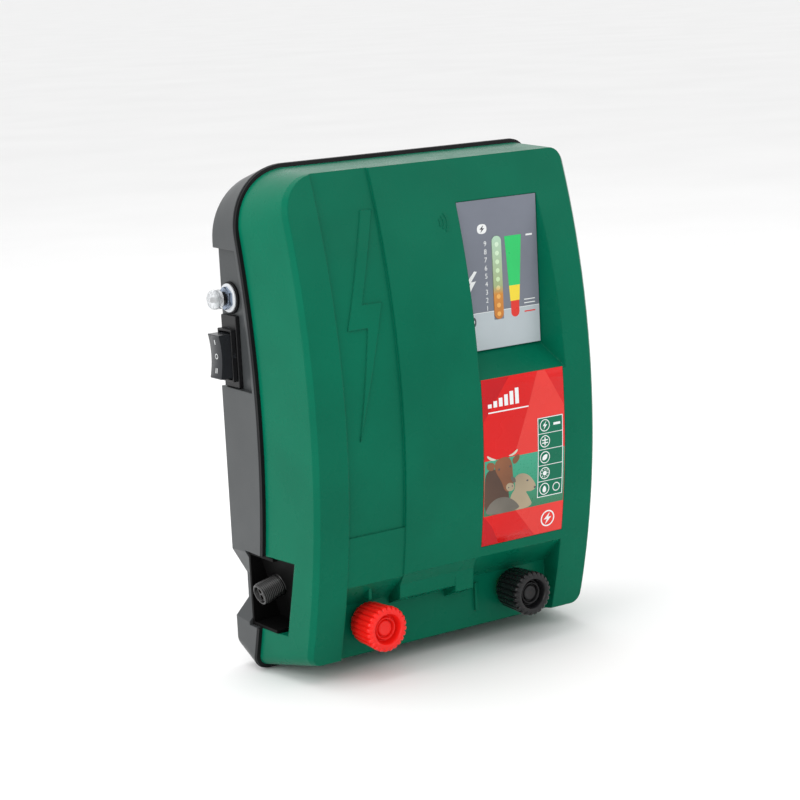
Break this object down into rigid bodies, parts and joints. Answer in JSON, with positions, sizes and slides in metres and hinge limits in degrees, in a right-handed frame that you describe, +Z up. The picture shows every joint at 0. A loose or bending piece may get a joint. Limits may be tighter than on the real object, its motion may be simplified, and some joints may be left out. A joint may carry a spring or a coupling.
{
  "type": "fence energizer",
  "caption": "Wall-hung electric fence energizer with curved green cover, grey rear housing, level display, two ribbed terminal knobs, side rocker switch and sealed button.",
  "frame": {"origin": "centre of the flat back of the case, in the plane of the wall", "axes": "+X to the right seen from the front, +Y towards the wall, +Z up"},
  "size_m": [0.2346, 0.0943, 0.3107],
  "materials": {
    "plastic_housing": "fine moulded grain",
    "plastic_cover": "fine moulded grain, slight sheen",
    "seal_rubber": "matt",
    "display_grey": "smooth printed film",
    "bar_lens": "frosted translucent",
    "lamp_resin": "clear resin",
    "label_film": "laminated film",
    "stud_steel": "zinc plated",
    "contact_brass": "plain",
    "washer_steel": "zinc plated",
    "knob_red": "moulded, slight sheen",
    "knob_black": "moulded, slight sheen",
    "switch_black": "satin",
    "rocker_black": "satin gloss",
    "washer_plastic": "smooth",
    "nut_steel": "dark plated",
    "barrel_plastic": "satin",
    "cap_clear": "clear moulded silicone",
    "liner_black": "fine grain",
    "socket_black": "satin",
    "pin_metal": "bright",
    "board_green": "solder mask over glass fibre",
    "screw_steel": "zinc plated",
    "module_shield": "tinned",
    "core_iron": "varnished laminations",
    "feet_nylon": "natural nylon",
    "winding_copper": "enamelled copper under varnish",
    "can_sleeve": "heat-shrunk sleeve",
    "sink_aluminium": "extruded",
    "transistor_epoxy": "moulded epoxy",
    "lead_red": "insulation",
    "lead_black": "insulation"
  },
  "bodies": {
    "case": {"rear_housing": "plastic_housing", "parting_gasket": "seal_rubber", "front_cover": "plastic_cover", "display_plate": "display_grey", "light_bar": "bar_lens", "bar_lamps": "lamp_resin", "display_board": "board_green", "front_label": "label_film", "fence_stud": "stud_steel", "fence_contact_plate": "contact_brass", "earth_stud": "stud_steel", "earth_contact_plate": "contact_brass", "stud_nuts": "stud_steel", "switch_bezel": "switch_black", "switch_collar": "switch_black", "switch_body": "switch_black", "button_seal": "seal_rubber", "button_washer": "washer_plastic", "button_nut": "nut_steel", "button_barrel": "barrel_plastic", "cable_bay_liner": "liner_black", "power_socket": "socket_black", "socket_insert": "socket_black", "socket_pins": "pin_metal", "main_board": "board_green", "board_screws": "screw_steel", "radio_module": "module_shield", "transformer_core": "core_iron", "transformer_feet": "feet_nylon", "transformer_bobbin": "feet_nylon", "transformer_windings": "winding_copper", "storage_capacitors": "can_sleeve", "heat_sink": "sink_aluminium", "power_transistor": "transistor_epoxy", "fence_lead": "lead_red", "earth_lead": "lead_black", "power_lead": "lead_black", "case_screws": "screw_steel"},
    "fence_clamp": {"fence_clamp_washer": "washer_steel"},
    "fence_knob": {"fence_knob": "knob_red"},
    "earth_clamp": {"earth_clamp_washer": "washer_steel"},
    "earth_knob": {"earth_knob": "knob_black"},
    "switch_rocker": {"switch_rocker": "rocker_black"},
    "test_button": {"button_cap": "cap_clear", "button_plunger": "barrel_plastic"}
  },
  "joints": [
    {"name": "fence_clamp_travel", "type": "slide", "parent": "case", "child": "fence_clamp", "axis": [0, -1, 0], "range_m": [0, 0.003]},
    {"name": "fence_knob_turn", "type": "hinge", "parent": "fence_clamp", "child": "fence_knob", "pos_m": [-0.06, -0.083, -0.1235], "axis": [0, -1, 0], "range_deg": [0, 1080]},
    {"name": "earth_clamp_travel", "type": "slide", "parent": "case", "child": "earth_clamp", "axis": [0, -1, 0], "range_m": [0, 0.003]},
    {"name": "earth_knob_turn", "type": "hinge", "parent": "earth_clamp", "child": "earth_knob", "pos_m": [0.0504, -0.083, -0.1235], "axis": [0, -1, 0], "range_deg": [0, 1080]},
    {"name": "switch_rocker_tilt", "type": "hinge", "parent": "case", "child": "switch_rocker", "pos_m": [-0.11175, -0.0115, 0.0425], "axis": [0, 1, 0], "range_deg": [-10, 10]},
    {"name": "test_button_press", "type": "slide", "parent": "case", "child": "test_button", "axis": [1, 0, 0], "range_m": [0, 0.002], "stiffness_N_per_m": 800}
  ],
  "couplings": [
    {"joint": "fence_knob_turn", "follows": "fence_clamp_travel", "rad_per_m": 6283.2},
    {"joint": "earth_knob_turn", "follows": "earth_clamp_travel", "rad_per_m": 6283.2}
  ]
}
